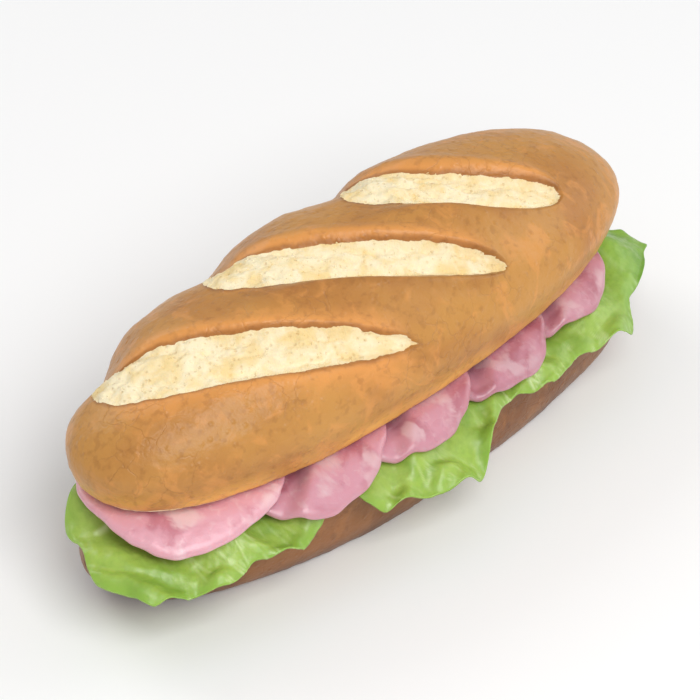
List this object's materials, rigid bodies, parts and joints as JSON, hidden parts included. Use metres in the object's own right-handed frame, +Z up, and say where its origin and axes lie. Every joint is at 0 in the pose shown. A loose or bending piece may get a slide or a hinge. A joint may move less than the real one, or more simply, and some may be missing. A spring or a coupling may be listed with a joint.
{
  "type": "submarine sandwich",
  "caption": "Submarine sandwich: a slashed golden roll cut through lengthwise, filled with shingled ham slices over frilly lettuce leaves",
  "frame": {"origin": "Centre of the roll's flat base, at z = 0.", "axes": "+X runs along the roll, towards the end where the last ham slice lies under the others. +Z is up. The side on which most of the filling shows faces -Y."},
  "size_m": [0.2043, 0.0938, 0.0721],
  "materials": {
    "crust": "baked, satin",
    "ham": "moist",
    "lettuce": "waxy"
  },
  "bodies": {
    "root": {"top_roll": "crust", "bottom_roll": "crust", "ham_slice_1": "ham", "ham_slice_2": "ham", "ham_slice_3": "ham", "ham_slice_4": "ham", "ham_slice_5": "ham", "lettuce_leaf_1": "lettuce", "lettuce_leaf_2": "lettuce"}
  },
  "joints": []
}
